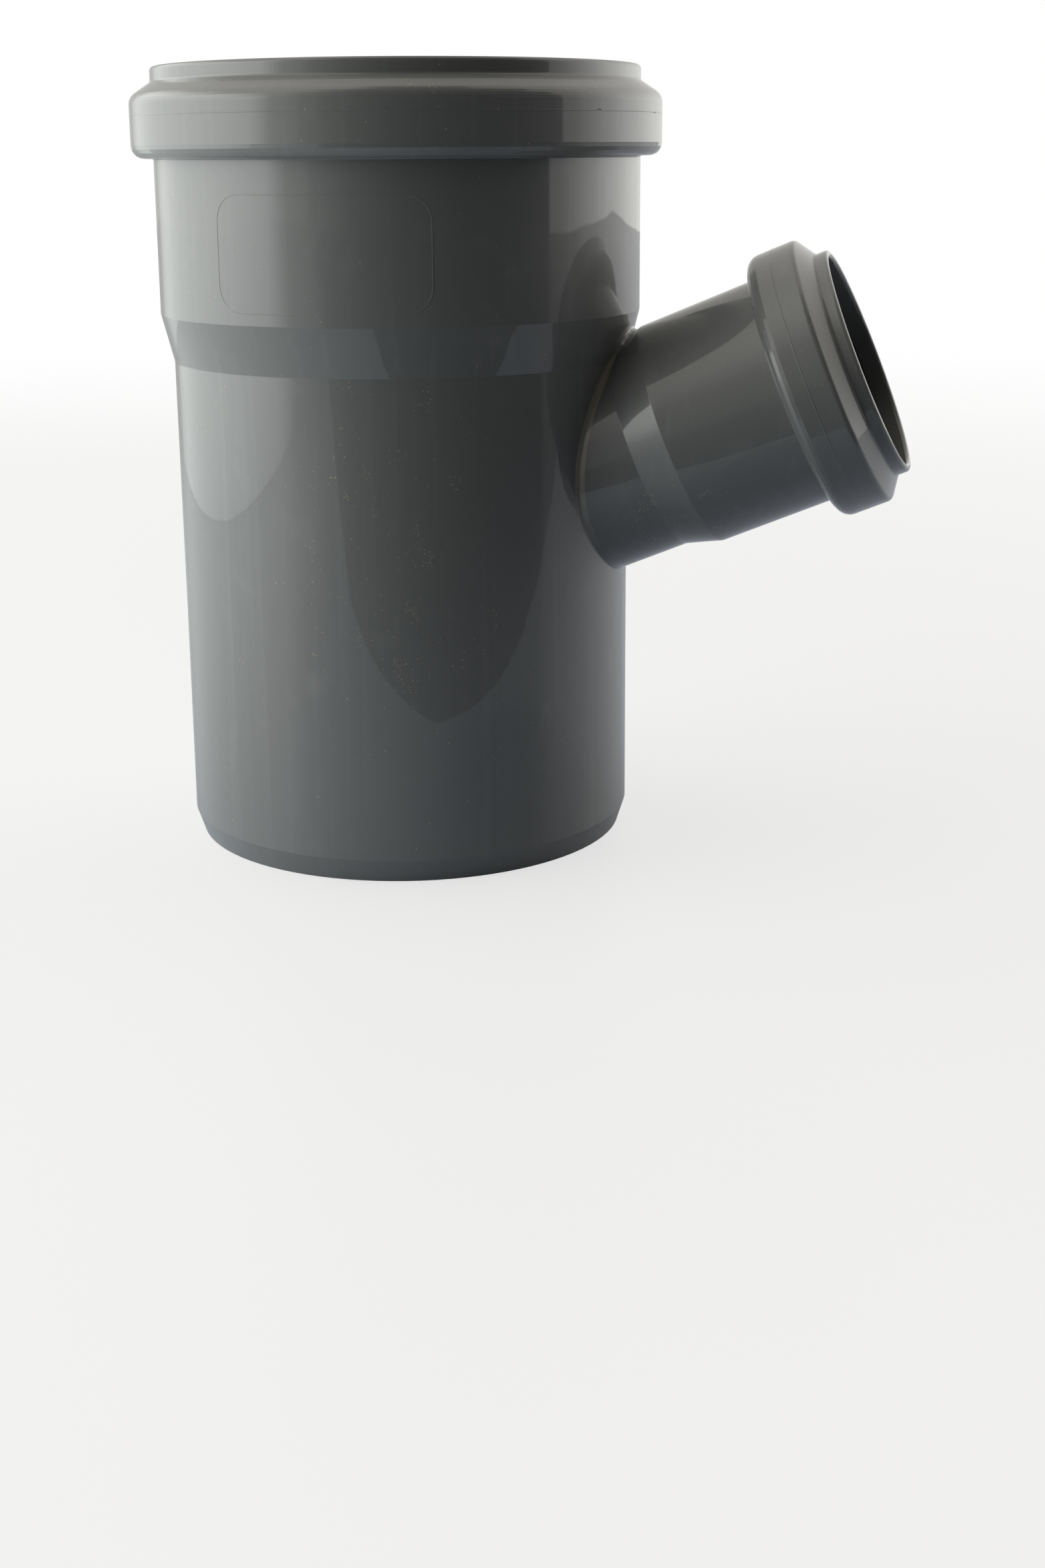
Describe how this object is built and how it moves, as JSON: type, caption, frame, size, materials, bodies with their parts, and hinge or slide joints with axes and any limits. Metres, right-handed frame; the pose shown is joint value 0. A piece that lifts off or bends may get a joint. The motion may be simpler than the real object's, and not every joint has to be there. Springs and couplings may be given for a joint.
{
  "type": "drain pipe branch",
  "caption": "Moulded drain pipe fitting: a straight run with a plain spigot and a push-fit socket, and a narrower socketed side inlet that joins it at a slant.",
  "frame": {"origin": "centre of the spigot's end face, on the main axis, where the part stands", "axes": "+Z along the main pipe towards its socket, +X towards the branch, Y across the mirror plane"},
  "size_m": [0.1867, 0.1262, 0.1854],
  "materials": {
    "grey_polypropylene": "smooth moulded, semi-gloss",
    "seal_rubber": "matt moulded"
  },
  "bodies": {
    "root": {"branch_body": "grey_polypropylene", "main_seal": "seal_rubber", "branch_seal": "seal_rubber"}
  },
  "joints": []
}
